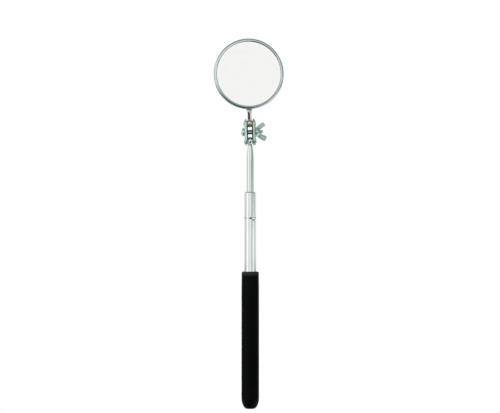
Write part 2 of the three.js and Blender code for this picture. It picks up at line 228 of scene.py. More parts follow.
class Nodes:
    """Short names for the nodes of a material or a world."""

    def __init__(self, tree):
        self.tree = tree

    def node(self, kind, **settings):
        made = self.tree.nodes.new(kind)
        for key, value in settings.items():
            setattr(made, key, value)
        return made

    def link(self, source, target):
        """Feeds a socket from another one, or sets it to a number or a colour."""
        if isinstance(source, tuple):
            target.default_value = (*source, 1)
        elif isinstance(source, (int, float)):
            target.default_value = source
        else:
            self.tree.links.new(source, target)

    def ramp(self, value, low, high, out_low=0.0, out_high=1.0):
        span = self.node("ShaderNodeMapRange", interpolation_type="SMOOTHSTEP")
        span.inputs["From Min"].default_value = low
        span.inputs["From Max"].default_value = high
        span.inputs["To Min"].default_value = out_low
        span.inputs["To Max"].default_value = out_high
        self.link(value, span.inputs["Value"])
        return span.outputs["Result"]

    def math(self, operation, *values):
        made = self.node("ShaderNodeMath", operation=operation)
        for value, socket in zip(values, made.inputs):
            self.link(value, socket)
        return made.outputs[0]

    def product(self, *factors):
        result = factors[0]
        for factor in factors[1:]:
            result = self.math("MULTIPLY", result, factor)
        return result

    def mix(self, factor, a, b):
        made = self.node("ShaderNodeMix", data_type="RGBA")
        for value, socket in zip((factor, a, b), (made.inputs[0], made.inputs[6], made.inputs[7])):
            self.link(value, socket)
        return made.outputs[2]


class Finish(Nodes):
    """A Principled material whose looks vary over the surface, in a group's own frame."""

    def __init__(self, name, color, metallic, roughness, frame=HANDLE_FRAME, **constants):
        self.frame = frame
        self.material = bpy.data.materials.new(name)
        self.material.use_nodes = True
        super().__init__(self.material.node_tree)
        self.shader = self.tree.nodes["Principled BSDF"]
        self.shader.inputs["Base Color"].default_value = (*color, 1)
        self.shader.inputs["Metallic"].default_value = metallic
        self.shader.inputs["Roughness"].default_value = roughness
        for socket, value in constants.items():
            self.shader.inputs[socket.replace("_", " ")].default_value = value
        self.coords = self.node("ShaderNodeTexCoord").outputs["Object"]

    def mapped(self, scale):
        """Coordinates in the group's own frame, in millimetres, stretched by scale."""
        mapping = self.node("ShaderNodeMapping", vector_type="TEXTURE")
        mapping.inputs["Location"].default_value = self.frame.to_translation()
        mapping.inputs["Rotation"].default_value = self.frame.to_euler()
        mapping.inputs["Scale"].default_value = tuple(MM / s for s in scale)
        self.link(self.coords, mapping.inputs["Vector"])
        return mapping.outputs["Vector"]

    def noise(self, scale, detail=3, roughness=0.5, distortion=0.0):
        texture = self.node("ShaderNodeTexNoise")
        texture.inputs["Scale"].default_value = 1
        texture.inputs["Detail"].default_value = detail
        texture.inputs["Roughness"].default_value = roughness
        texture.inputs["Distortion"].default_value = distortion
        self.link(self.mapped(scale), texture.inputs["Vector"])
        return texture.outputs["Fac"]

    def color(self, source):
        self.link(source, self.shader.inputs["Base Color"])

    def roughness(self, *parts):
        """Sets the roughness to the sum of some parts."""
        total = parts[0]
        for part in parts[1:]:
            total = self.math("ADD", total, part)
        self.link(total, self.shader.inputs["Roughness"])

    def bump(self, *layers):
        """Stacks layers of (height, distance in mm) into one normal."""
        normal = None
        for height, distance in layers:
            made = self.node("ShaderNodeBump")
            made.inputs["Strength"].default_value = 1
            made.inputs["Distance"].default_value = distance * MM
            self.link(height, made.inputs["Height"])
            if normal:
                self.link(normal, made.inputs["Normal"])
            normal = made.outputs["Normal"]
        self.link(normal, self.shader.inputs["Normal"])

    def edges(self):
        """One on convex edges, where a finish wears."""
        return self.ramp(self.node("ShaderNodeNewGeometry").outputs["Pointiness"], 0.52, 0.6)

    def axis(self, name):
        split = self.node("ShaderNodeSeparateXYZ")
        self.link(self.mapped((1, 1, 1)), split.inputs[0])
        return split.outputs[name]

    def off_middle(self, name):
        """Distance from the frame's origin along one axis."""
        return self.math("ABSOLUTE", self.axis(name))


def vinyl():
    finish = Finish("black_vinyl", (0.002, 0.0023, 0.0025), 0, 0.5, Specular_IOR_Level=0.04)
    patches = finish.noise((0.06, 0.06, 0.035), detail=4)
    scuffs = finish.noise((1.6, 1.6, 0.25), detail=5, roughness=0.7)
    dust = finish.noise((4, 4, 2.5), detail=3, roughness=0.7)
    dark, paler = (0.0012, 0.0014, 0.0016), (0.0022, 0.0025, 0.0027)
    worked = finish.mix(finish.ramp(patches, 0.35, 0.7), dark, paler)
    dusty = finish.mix(finish.ramp(dust, 0.66, 0.8, 0, 0.4), worked, (0.01, 0.01, 0.01))
    # a painted highlight along the rolled edge: a paler band just under the top
    painted_rim_highlight = finish.ramp(finish.axis("Z"), GRIP_LENGTH - 4.4, GRIP_LENGTH - 1.4)
    finish.color(finish.mix(painted_rim_highlight, dusty, (0.03, 0.031, 0.032)))
    # the collar end is handled most, and is a little glossier
    polish = finish.ramp(finish.axis("Z"), GRIP_LENGTH - 16, GRIP_LENGTH - 9, 0, -0.06)
    patchy = finish.ramp(patches, 0.3, 0.7, -0.04, 0.04)
    finish.roughness(finish.ramp(scuffs, 0.45, 0.75, 0.25, 0.4), patchy, polish)
    pebbles = finish.noise((2.6, 2.6, 2.2), detail=2)
    grain = finish.noise((9, 9, 9), detail=3, roughness=0.6)
    finish.bump((pebbles, 0.04), (grain, 0.012), (scuffs, 0.01))
    return finish.material


def drawn_chrome(name, base):
    """Chrome over a drawn tube: faint lengthwise streaks, scuffs and a soft haze."""
    worn = tuple(0.9 * c for c in base)
    finish = Finish(name, base, 1, 0.07)
    haze = finish.noise((0.09, 0.09, 0.03), detail=3)
    streaks = finish.noise((3.5, 3.5, 0.02), detail=4, roughness=0.6)
    scuffs = finish.noise((0.5, 0.5, 5), detail=5, roughness=0.75)
    finish.color(finish.mix(finish.ramp(haze, 0.4, 0.75, 0, 0.6), base, worn))
    finish.roughness(finish.ramp(streaks, 0.35, 0.7, 0.05, 0.1), finish.ramp(scuffs, 0.6, 0.8, 0, 0.1))
    finish.bump((streaks, 0.0025), (scuffs, 0.0012))
    return finish.material


def spun_chrome():
    """The case: chrome over spun steel, with rings round the disc's own axis."""
    base = (0.69, 0.745, 0.75)
    finish = Finish("case_chrome", base, 1, 0.1, frame=MIRROR_FRAME)
    x, z = finish.axis("X"), finish.axis("Z")
    up = finish.math("SUBTRACT", z, DISC_CENTRE_Z)
    radius = finish.math("SQRT", finish.math("ADD", finish.product(x, x), finish.product(up, up)))
    texture = finish.node("ShaderNodeTexNoise", noise_dimensions="1D")
    texture.inputs["Scale"].default_value = 4.5
    texture.inputs["Detail"].default_value = 5
    finish.link(radius, texture.inputs["W"])
    rings = texture.outputs["Fac"]
    cloud = finish.noise((0.12, 0.12, 0.12), detail=4)
    clouded = finish.mix(finish.ramp(cloud, 0.4, 0.7, 0, 0.5), base, (0.6, 0.64, 0.65))
    # grime lies along the glass, and the outer edge is tarnished
    grime = finish.ramp(radius, MIRROR_RADIUS - 2.2, MIRROR_RADIUS - 1.8, 0.4, 0)
    tarnish = finish.ramp(radius, MIRROR_RADIUS - 0.5, MIRROR_RADIUS - 0.1, 0, 0.65)
    soiled = finish.mix(grime, clouded, (0.13, 0.18, 0.18))
    finish.color(finish.mix(tarnish, soiled, (0.24, 0.27, 0.28)))
    finish.roughness(finish.ramp(rings, 0.35, 0.65, 0.06, 0.13), finish.ramp(cloud, 0.5, 0.8, 0, 0.08))
    finish.bump((rings, 0.004))
    return finish.material


# near black, painted as shade inside the clamp
PAINTED_SHADE_BLACK = (0.004, 0.006, 0.006)


def zinc(name, light, green, edge):
    """Bright zinc with a faint blue-green passivation, and painted shade on its faces inside the clamp."""
    finish = Finish(name, light, 1, 0.26, frame=CLAMP_FRAME)
    cloud = finish.noise((0.35, 0.35, 0.35), detail=4, distortion=0.8)
    grain = finish.noise((6, 6, 6), detail=4, roughness=0.6)
    scuffs = finish.noise((0.8, 5, 0.8), detail=4, roughness=0.7)
    # painted shade between the plates: their inner faces are painted near black, most of all round the
    # bolt
    inside = finish.product(
        finish.ramp(finish.off_middle("X"), PLATE_INNER - 0.03, PLATE_INNER + 0.15, 1, 0),
        finish.ramp(finish.off_middle("Z"), 4.3, 5.2, 1, 0.25),
    )
    plated = finish.mix(finish.ramp(cloud, 0.35, 0.7), light, green)
    rubbed = finish.mix(finish.edges(), plated, edge)
    finish.color(finish.mix(finish.product(inside, 0.98), rubbed, PAINTED_SHADE_BLACK))
    finish.roughness(finish.ramp(grain, 0.3, 0.7, 0.3, 0.44), finish.ramp(scuffs, 0.6, 0.8, 0, 0.1))
    finish.bump((grain, 0.006), (scuffs, 0.003))
    return finish.material


def bright_zinc(name, light, green, roughness, painted_shade_between_plates=False, rubbed=False):
    """Zinc on the bolt, washer and nut. Between the plates the bolt is painted near black as painted
    shade, but for a painted teal-green highlight in a line along its front and back."""
    finish = Finish(name, light, 1, roughness, frame=CLAMP_FRAME)
    cloud = finish.noise((0.5, 0.5, 0.5), detail=4, distortion=0.6)
    grain = finish.noise((7, 7, 7), detail=4, roughness=0.65)
    pits = finish.noise((2.4, 2.4, 2.4), detail=2)
    plated = finish.mix(finish.ramp(cloud, 0.35, 0.7), light, green)
    shade = finish.mix(finish.edges(), plated, tuple(min(1, 1.12 * c) for c in light))
    if rubbed:
        # the nut's flange is rubbed bright
        flange = finish.ramp(finish.axis("X"), PLATE_OUTER + 1.6, PLATE_OUTER + 2.3, 0.9, 0)
        shade = finish.mix(flange, shade, (0.86, 0.93, 0.90))
    if painted_shade_between_plates:
        # painted shade and highlight: near black between the plates, but for a painted green highlight
        # line along the bolt's front and back
        between = finish.ramp(finish.off_middle("X"), PLATE_INNER - 0.15, PLATE_INNER + 0.35, 1, 0)
        off_highlight_line = finish.ramp(finish.off_middle("Z"), 0.15, 0.5)
        shade = finish.mix(finish.product(between, 0.7), shade, (0.36, 0.88, 0.73))
        shade = finish.mix(finish.product(between, 0.97, off_highlight_line), shade, PAINTED_SHADE_BLACK)
    finish.color(shade)
    finish.roughness(finish.ramp(grain, 0.3, 0.7, roughness - 0.06, roughness + 0.08))
    finish.bump((pits, 0.02), (grain, 0.008))
    return finish.material


def nickel(name, base, warm, frame, painted_dark_stripe=False):
    """Nickel plate on the balls, the pin and the stud, with lengthwise lines and rubs."""
    finish = Finish(name, base, 1, 0.13, frame=frame)
    cloud = finish.noise((0.4, 0.4, 0.25), detail=4)
    lines = finish.noise((5, 5, 0.15), detail=4, roughness=0.6)
    rubs = finish.noise((0.6, 0.6, 6), detail=4, roughness=0.7)
    shade = finish.mix(finish.ramp(cloud, 0.35, 0.75), base, warm)
    rough = [finish.ramp(lines, 0.3, 0.7, 0.08, 0.16), finish.ramp(rubs, 0.55, 0.8, 0, 0.12)]
    if painted_dark_stripe:
        # a painted dark reflection: a dark brown stripe along the wire's front, where it was beaten and
        # welded; and the beaten part is dull
        x, z = finish.axis("X"), finish.axis("Z")
        ragged = finish.math("ADD", x, finish.ramp(cloud, 0.3, 0.7, -0.04, 0.04))
        scale = finish.product(
            finish.ramp(ragged, -1.5, -1.3), finish.ramp(ragged, 0.14, 0.26, 1, 0),
            finish.ramp(z, 2.4, 3.4), finish.ramp(z, 8.9, 9.3, 1, 0),
            finish.ramp(finish.axis("Y"), -0.2, 0.2, 1, 0),
        )
        # the stripe's dark brown is a painted reflection
        shade = finish.mix(scale, shade, (0.03, 0.02, 0.013))
        rough.append(finish.ramp(z, 8, 10, 0, 0.4))
    finish.color(shade)
    finish.roughness(*rough)
    finish.bump((lines, 0.003), (rubs, 0.002))
    return finish.material


def brass():
    bright, dull = (0.62, 0.45, 0.17), (0.36, 0.24, 0.09)
    finish = Finish("spring_brass", bright, 1, 0.3)
    tarnish = finish.noise((0.8, 0.8, 0.8), detail=5)
    rolled = finish.noise((0.4, 0.4, 8), detail=3)
    finish.color(finish.mix(finish.ramp(tarnish, 0.4, 0.7), bright, dull))
    finish.roughness(finish.ramp(tarnish, 0.3, 0.7, 0.22, 0.42))
    finish.bump((rolled, 0.004))
    return finish.material


def nylon():
    finish = Finish("nylon", (0.66, 0.63, 0.54), 0, 0.45, Subsurface_Weight=0.15)
    cloud = finish.noise((0.5, 0.5, 0.5), detail=3)
    grain = finish.noise((5, 5, 5), detail=3)
    finish.color(finish.mix(cloud, (0.7, 0.67, 0.58), (0.6, 0.57, 0.47)))
    finish.roughness(finish.ramp(grain, 0.3, 0.7, 0.38, 0.55))
    finish.bump((grain, 0.01))
    return finish.material


def felt():
    finish = Finish("felt", (0.12, 0.12, 0.125), 0, 0.95, Sheen_Weight=0.4, Sheen_Roughness=0.6)
    fibres = finish.noise((3, 12, 3), detail=6, roughness=0.8, distortion=2)
    finish.color(finish.mix(fibres, (0.07, 0.07, 0.075), (0.2, 0.2, 0.2)))
    finish.roughness(finish.ramp(fibres, 0.3, 0.7, 0.85, 1))
    finish.bump((fibres, 0.12))
    return finish.material


def mirror():
    """Silvered glass, with the faintest smear of handling."""
    finish = Finish("mirror_glass", (0.93, 0.935, 0.93), 1, 0.01)
    smear = finish.noise((0.05, 0.05, 0.09), detail=5, distortion=1.5)
    dust = finish.noise((1.3, 1.3, 1.3), detail=2)
    clean, smeared = (0.94, 0.945, 0.94), (0.915, 0.925, 0.915)
    finish.color(finish.mix(finish.ramp(smear, 0.4, 0.8), clean, smeared))
    finish.roughness(finish.ramp(smear, 0.5, 0.8, 0.004, 0.03), finish.ramp(dust, 0.72, 0.8, 0, 0.05))
    finish.bump((smear, 0.0002))
    return finish.material


# ---- Handle ----

GRIP_LENGTH = (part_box("grip_sleeve")[1].z - GRIP_BASE) / MM
GRIP_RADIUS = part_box("grip_sleeve")[1].x / MM
GRIP_TAPER = 0.12        # by which the wall thins towards the top
GRIP_TOP_RADIUS = GRIP_RADIUS - GRIP_TAPER
GRIP_NOSE = 9.1          # height of the rounded end
GRIP_EDGE = 1.3          # radius of the rolled edge
OUTER_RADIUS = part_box("outer_tube")[1].x / MM
OUTER_BORE = OUTER_RADIUS - 0.7   # by the wall's thickness
OUTER_BASE_Z = (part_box("outer_tube")[0].z - GRIP_BASE) / MM
OUTER_TOP_Z = (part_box("outer_tube")[1].z - GRIP_BASE) / MM
MOUTH_RADIUS = 3.3       # the outer tube's mouth, rolled in round the inner tube
MOUTH_ROUND = 1.25
GROOVE_Z = 154.1
GROOVE_DEPTH = 0.24
FIT = 0.15               # clearance between parts that slide or are pushed in


def grip_sleeve():
    """A dipped vinyl sleeve: closed blunt end, straight wall, soft rolled edge."""
    blunt = 2.6
    nose = arc(blunt, GRIP_NOSE, GRIP_RADIUS - blunt, GRIP_NOSE, -90, 0, 28)
    edge_foot = GRIP_LENGTH - GRIP_EDGE
    edge = arc(GRIP_TOP_RADIUS - GRIP_EDGE, edge_foot, GRIP_EDGE, GRIP_EDGE, 0, 84, 12)
    wall = []
    rows = 64
    for row in range(1, rows):
        z = GRIP_NOSE + (edge_foot - GRIP_NOSE) * row / rows
        fall = max(0, (z - (GRIP_LENGTH - 20)) / 19)
        wobble = 0.015 * math.sin(z * 0.21) + 0.01 * math.sin(z * 0.57 + 1)
        wall.append((GRIP_RADIUS - GRIP_TAPER * fall - 0.03 + wobble, z))
    bore = OUTER_RADIUS + 0.05
    outline = [(0, 0), *nose[:-1], *wall, *edge]
    outline += softened([
        (GRIP_TOP_RADIUS - GRIP_EDGE, GRIP_LENGTH), (bore, GRIP_LENGTH, 0.35), (bore, 4), (0, 4),
    ])
    return lathe("grip_sleeve_detail", outline, HANDLE_FRAME, sides=144)


def grooved(radius):
    """A shallow rolled groove: its sides slope gently enough to stay bright."""
    return [
        (radius, GROOVE_Z - 1.1, 0.6),
        (radius - GROOVE_DEPTH, GROOVE_Z - 0.15, 0.5),
        (radius - GROOVE_DEPTH, GROOVE_Z + 0.15, 0.5),
        (radius, GROOVE_Z + 1.1, 0.6),
    ]


def outer_tube():
    lip = arc(OUTER_RADIUS - MOUTH_ROUND, OUTER_TOP_Z - MOUTH_ROUND, MOUTH_ROUND, MOUTH_ROUND, 0, 90, 14)
    outline = softened([
        (OUTER_BORE, OUTER_BASE_Z, 0.2), (OUTER_RADIUS, OUTER_BASE_Z, 0.2),
        *grooved(OUTER_RADIUS),
        *lip,
        (MOUTH_RADIUS, OUTER_TOP_Z, 0.35), (MOUTH_RADIUS, OUTER_TOP_Z - 1, 0.3),
        (OUTER_BORE, OUTER_TOP_Z - 1.4, 0.3),
        *reversed(grooved(OUTER_BORE)),
        (OUTER_BORE, OUTER_BASE_Z, 0.2),
    ])
    return lathe("outer_tube_detail", outline, HANDLE_FRAME, sides=160)


def end_plug():
    """Closes the outer tube's foot, with a groove round its middle."""
    r, low, high = OUTER_BORE - FIT, OUTER_BASE_Z, OUTER_BASE_Z + 8
    outline = softened([
        (0, low), (r, low, 0.4), (r, low + 3, 0.2), (r - 0.25, low + 3.3, 0.2),
        (r - 0.25, low + 4.7, 0.2), (r, low + 5, 0.2), (r, high, 0.6), (0, high),
    ])
    return lathe("end_plug_detail", outline, HANDLE_FRAME, sides=64)


def guide_bushing():
    """Held between the groove and the mouth; the inner tube runs in it."""
    inner, outer = INNER_RADIUS + FIT, OUTER_BORE - FIT
    low, high = GROOVE_Z + 1.4, OUTER_TOP_Z - 1.5
    outline = softened([
        (inner, low, 0.3), (outer, low, 0.3), (outer, high, 0.3), (inner, high, 0.3), (inner, low, 0.3),
    ])
    return lathe("guide_bushing_detail", outline, HANDLE_FRAME, sides=64)


# ---- Inner tube, its collars and the ball pin ----

INNER_RADIUS = 3
INNER_BORE = 2.5
INNER_BASE_Z = 21.3
SHOULDER_FOOT_Z = 201.0
NECK_TOP_Z = 213.7
NECK_RADIUS = 1.95
NECK_BORE = 1.62
PIN_RADIUS = 1.5
PIN_BASE_Z = 197
COLLAR_LENGTH = 7.6
COLLAR_SEAT = 0.3        # depth of the tube's waists that the collars sit in
SLIT_HALF_WIDTH = 0.6
COLLAR_BASES = [(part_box(f"friction_collar_{end}")[0].z - GRIP_BASE) / MM for end in ("lower", "upper")]


def friction_collar(end, base):
    """A split ring: its section swept most of the way round, then capped at the slit."""
    inner, outer = INNER_RADIUS - COLLAR_SEAT + FIT, OUTER_BORE - FIT
    half_gap = math.asin(SLIT_HALF_WIDTH / outer)
    section = softened([
        (inner, base, 0.15), (outer, base, 0.25), (outer, base + COLLAR_LENGTH, 0.25),
        (inner, base + COLLAR_LENGTH, 0.15), (inner, base, 0.15),
    ])[:-1]
    rings = []
    steps = 72
    for step in range(steps + 1):
        angle = math.pi / 2 + half_gap + (TAU - 2 * half_gap) * step / steps
        rings.append([(r * math.cos(angle), r * math.sin(angle), z) for r, z in section])
    first, last = ([tuple(sum(c) / len(ring) for c in zip(*ring))] for ring in (rings[0], rings[-1]))
    return skin(f"friction_collar_{end}_detail", [first, *rings, last], HANDLE_FRAME)


def collar_seats(radius):
    points = []
    for base in COLLAR_BASES:
        low, high = base - 0.2, base + COLLAR_LENGTH + 0.2
        points += [(radius, low - 0.1, 0.2), (radius - COLLAR_SEAT, low, 0.2)]
        points += [(radius - COLLAR_SEAT, high, 0.2), (radius, high + 0.1, 0.2)]
    return points


def inner_tube():
    """Waisted for its collars, and swaged to a neck that grips the ball pin."""
    shoulder = []
    steps = 26
    for step in range(steps):
        rise = step / steps
        radius = INNER_RADIUS + (NECK_RADIUS - INNER_RADIUS) * rise ** 1.9
        shoulder.append((radius, SHOULDER_FOOT_Z + (NECK_TOP_Z - SHOULDER_FOOT_Z) * rise))
    foot = (INNER_BORE, INNER_BASE_Z, 0.15)
    outline = softened([
        foot, (INNER_RADIUS, INNER_BASE_Z, 0.2),
        *collar_seats(INNER_RADIUS),
        *shoulder,
        (NECK_RADIUS, NECK_TOP_Z, 0.3), (NECK_BORE, NECK_TOP_Z, 0.1), (NECK_BORE, SHOULDER_FOOT_Z + 5.5),
        (INNER_BORE, SHOULDER_FOOT_Z),
        *reversed(collar_seats(INNER_BORE)),
        foot,
    ])
    return lathe("inner_tube_detail", outline, HANDLE_FRAME, sides=128)


BALL_RADIUS = 3.175


def ball_pin():
    """The pin under the lower ball, with its head in the tube and its top hollowed to the ball."""
    seat_radius = BALL_RADIUS + 0.02
    seat = arc(0, LOWER_BALL_Z, seat_radius, seat_radius, -60, -90, 8)
    head, head_top = 2.3, PIN_BASE_Z + 2.4
    outline = softened([
        (0, PIN_BASE_Z), (head, PIN_BASE_Z, 0.3), (head, head_top, 0.3), (PIN_RADIUS, head_top + 0.3, 0.2),
        (PIN_RADIUS, NECK_TOP_Z + 0.2, 0.5), (seat[0][0] + 0.05, seat[0][1] - 0.12, 0.1),
    ])
    return lathe("ball_pin_detail", [*outline, *seat[:-1], (0, seat[-1][1])], HANDLE_FRAME, sides=96)


def ball(name, matrix, up):
    """A turned ball: a small flat with a centre mark is left at its free pole."""
    side = 1 if up else -1
    flat, mark_depth = 0.62, 0.2
    top = math.degrees(math.acos(flat / BALL_RADIUS))
    half = arc(0, 0, BALL_RADIUS, BALL_RADIUS, -90, top, 56)
    end = half[-1][1]
    mark = softened([(flat, end, 0.05), (0.34, end, 0.08), (0.02, end - mark_depth)])
    outline = [(0, -BALL_RADIUS), *half[1:-1], *mark, (0, end - mark_depth)]
    return lathe(name, [(r, side * z) for r, z in outline], matrix, sides=112, sharp=50)


# ---- Clamp ----

PLATE_END = 3.85         # from a ball's middle to the plate's end
PLATE_HALF_WIDTH = 4.3
PLATE_HALF_LENGTH = BALL_HALF + PLATE_END
CUP_RADIUS = 5.2         # outside of the cup over a ball
CUP_RECESS = 3.45        # and inside
OUTER_EDGE = 0.42        # radii of the plate's edges
INNER_EDGE = 0.28
HOLE_HALF = {"square": 1.9, "round": 1.92}
BOSS_RISE = 0.8          # of the boss pressed inwards round the bolt
BOSS_HALF_WIDTH = 3.1
BOSS_HALF_LENGTH = 4.4
BOSS_CORNER = Vector((0.786, 0.618))   # across the octagon's slanting sides
BOSS_CORNER_REACH = 4.291
HEAD_X = -(PLATE_OUTER + 0.1)
HEAD_RADIUS = 3.6
SHANK_RADIUS = 1.745
THREAD_PITCH = 0.79375
THREAD_DEPTH = 0.44
WASHER_RADIUS = 4.1
NUT_X = PLATE_OUTER + 0.9


def stadium(count):
    """Points round the plate's outline, evenly spaced, from the +Y side upwards."""
    straight = PLATE_HALF_LENGTH - PLATE_HALF_WIDTH
    half_turn = math.pi * PLATE_HALF_WIDTH
    total = 2 * half_turn + 4 * straight
    points = []
    for k in range(count):
        s = total * k / count
        if s < straight:
            points.append((PLATE_HALF_WIDTH, s))
        elif s < straight + half_turn:
            a = (s - straight) / PLATE_HALF_WIDTH
            points.append((PLATE_HALF_WIDTH * math.cos(a), straight + PLATE_HALF_WIDTH * math.sin(a)))
        elif s < 3 * straight + half_turn:
            points.append((-PLATE_HALF_WIDTH, straight - (s - straight - half_turn)))
        elif s < 3 * straight + 2 * half_turn:
            a = (s - 3 * straight - half_turn) / PLATE_HALF_WIDTH
            points.append((-PLATE_HALF_WIDTH * math.cos(a), -straight - PLATE_HALF_WIDTH * math.sin(a)))
        else:
            points.append((PLATE_HALF_WIDTH, s - total))
    return points


def outside_boss(y, z):
    """How far a point is outside the boss's top, an octagon longer than it is wide."""
    slanting = BOSS_CORNER.x * y + BOSS_CORNER.y * z - BOSS_CORNER_REACH
    return max(y - BOSS_HALF_WIDTH, z - BOSS_HALF_LENGTH, slanting)


def plate_face(y, z, outer):
    """Distance from the clamp's middle of the plate's outer or inner face."""
    beyond = max(0, abs(z) - BALL_HALF) / PLATE_END
    from_ball = math.hypot(y, abs(z) - BALL_HALF)
    if not outer:
        recess = math.sqrt(max(0, CUP_RECESS ** 2 - from_ball ** 2))
        curl = math.copysign(0.18 * beyond ** 2, z)
        boss = BOSS_RISE * fade(outside_boss(abs(y), abs(z)), 0, 0.8)
        return smooth_max(recess, PLATE_INNER + curl - boss, 0.12)
    # the outside is rolled at both ends, and thins towards its upper one
    rolled = math.sqrt(CUP_RADIUS ** 2 - (beyond * PLATE_END) ** 2)
    taper = 0.34 * beyond ** 1.6 if z > 0 else 0.05 * beyond
    dome = math.sqrt(max(0, CUP_RADIUS ** 2 - from_ball ** 2)) - 0.04
    if z > 0:
        dome -= taper
    return smooth_max(dome, smooth_min(PLATE_OUTER, rolled, 0.25) - taper, 0.5)


def squircle(angle, half):
    """Radius, at an angle, of a square with rounded corners."""
    return half / (math.cos(angle) ** 10 + math.sin(angle) ** 10) ** 0.1


def clamp_plate(name, side, hole):
    """A pressed steel plate. Rays run from the bolt hole to the outline, on both faces."""
    around, across, rim = 208, 46, 7
    outline = stadium(around)
    reach = HOLE_HALF[hole]
    holes = []
    for y, z in outline:
        angle = math.atan2(z, y)
        r = squircle(angle, reach) if hole == "square" else reach
        holes.append((r * math.cos(angle), r * math.sin(angle)))

    def face_ring(t, outer, lift=0.0, shrink=0.0):
        ring = []
        for (hy, hz), (oy, oz) in zip(holes, outline):
            y, z = hy + (oy - hy) * t, hz + (oz - hz) * t
            length = math.hypot(y, z)
            y, z = y * (1 - shrink / length), z * (1 - shrink / length)
            ring.append((side * (plate_face(y, z, outer) + lift), y, z))
        return ring

    def spread(index):
        return (index / across) ** 0.85

    rings = [face_ring(spread(index), True) for index in range(across)]
    # the outer edge: a quarter round, the wall, and a smaller quarter round inside
    quarter = [math.pi / 2 * step / rim for step in range(rim + 1)]
    for a in quarter:
        lift, shrink = -OUTER_EDGE * (1 - math.cos(a)), OUTER_EDGE * (1 - math.sin(a))
        rings.append(face_ring(1, True, lift, shrink))
    for a in quarter:
        lift, shrink = INNER_EDGE * (1 - math.sin(a)), INNER_EDGE * (1 - math.cos(a))
        rings.append(face_ring(1, False, lift, shrink))
    rings += [face_ring(spread(index), False) for index in reversed(range(across))]
    return skin(name, rings, CLAMP_FRAME, loop=True, sharp=38)


def clamp_bolt():
    """Round head, square neck, plain waist and a threaded end, along X."""
    low, high = local_box("clamp_bolt", CLAMP_FRAME)
    crown_x, end_x = low.x, high.x
    rim_x = HEAD_X - 1.05

    def ring_of(x, radius_at):
        return [(x, radius_at(a) * math.cos(a), radius_at(a) * math.sin(a)) for a in angles(96)]

    head = arc(0, rim_x, HEAD_RADIUS, rim_x - crown_x, -88, 0, 18)
    head += [(HEAD_RADIUS, HEAD_X - 0.45), (HEAD_RADIUS - 0.03, HEAD_X - 0.2)]
    head += [(HEAD_RADIUS - 0.15, HEAD_X - 0.05), (HEAD_RADIUS - 0.3, HEAD_X)]
    neck = [(HEAD_X, 1.82), (HEAD_X + 0.12, 1.75), (HEAD_X + 1.55, 1.75), (HEAD_X + 1.75, 1.68)]
    neck.append((PLATE_INNER - 0.8, SHANK_RADIUS))
    rings = [[(crown_x, 0, 0)]]
    rings += [ring_of(x, lambda a: radius) for radius, x in head]
    rings += [ring_of(x, lambda a: squircle(a, half)) for x, half in neck]

    thread_x = PLATE_INNER - 0.6
    steps = int((end_x - thread_x) / (THREAD_PITCH / 10))
    for step in range(steps + 1):
        x = thread_x + (end_x - thread_x) * step / steps
        run_in = min(1, max(0, (x - thread_x) / 1.2))
        chamfer = 1.28 + 0.465 * min(1, (end_x - x) / 0.6)

        def threaded(a):
            phase = (x / THREAD_PITCH - a / TAU) % 1
            flank = min(1, max(0, (abs(phase - 0.5) * 2 - 0.12) / 0.76))
            return min(SHANK_RADIUS - THREAD_DEPTH * run_in * (1 - flank), chamfer)

        rings.append(ring_of(x, threaded))
    rings.append([(end_x, 0, 0)])
    return skin("clamp_bolt_detail", rings, CLAMP_FRAME, sharp=50)


def nut_washer():
    low, high, bore = PLATE_OUTER + 0.1, PLATE_OUTER + 0.8, 1.93
    outline = softened([
        (bore, low, 0.1), (WASHER_RADIUS, low, 0.1), (WASHER_RADIUS, high, 0.28), (bore, high, 0.15),
        (bore, low, 0.1),
    ])
    return lathe("nut_washer_detail", outline, CLAMP_FRAME, sides=96, axis="X")


def remeshed(name, parts, matrix, voxel, rounds):
    """Joins closed shells into one casting: voxels, then a few rounds of smoothing."""
    mesh = bpy.data.meshes.new(name)
    whole = bmesh.new()
    for part in parts:
        whole.from_mesh(part.data)
        bpy.data.objects.remove(part)
    whole.to_mesh(mesh)
    whole.free()
    obj = bpy.data.objects.new(name, mesh)
    bpy.context.scene.collection.objects.link(obj)
    remesh = obj.modifiers.new("cast", "REMESH")
    remesh.mode = "VOXEL"
    remesh.voxel_size = voxel * MM
    smooth = obj.modifiers.new("soft", "SMOOTH")
    smooth.factor = 0.5
    smooth.iterations = rounds
    bpy.context.view_layer.update()
    evaluated = obj.evaluated_get(bpy.context.evaluated_depsgraph_get())
    final = bpy.data.meshes.new_from_object(evaluated)
    obj.modifiers.clear()
    obj.data = final
    final.name = name
    final.shade_smooth()
    final.transform(matrix)
    return obj


def wing_nut():
    """Round base and two ears of unequal length, cast in one, with a chamfered bore."""
    base, top, bore, flange = NUT_X, NUT_X + 3.35, 1.8, 3.74
    outline = softened([
        (bore, base, 0.3), (flange, base, 0.15), (flange, base + 0.9, 0.3), (2.95, top, 0.4),
        (bore, top, 0.35), (bore, base, 0.3),
    ])
    collar = lathe("collar", outline, Matrix.Identity(4), sides=96, axis="X")
    ears = [wing_ear(33, 11.8, 1.8), wing_ear(-29, 12.4, 2.1)]
    return remeshed("wing_nut_detail", [collar, *ears], CLAMP_FRAME, 0.085, 4)


def rounded_off(left, radius):
    """How far an end's outline has drawn in at a distance from the tip."""
    if left >= radius:
        return 0
    return radius - math.sqrt(max(0, radius ** 2 - (radius - left) ** 2))


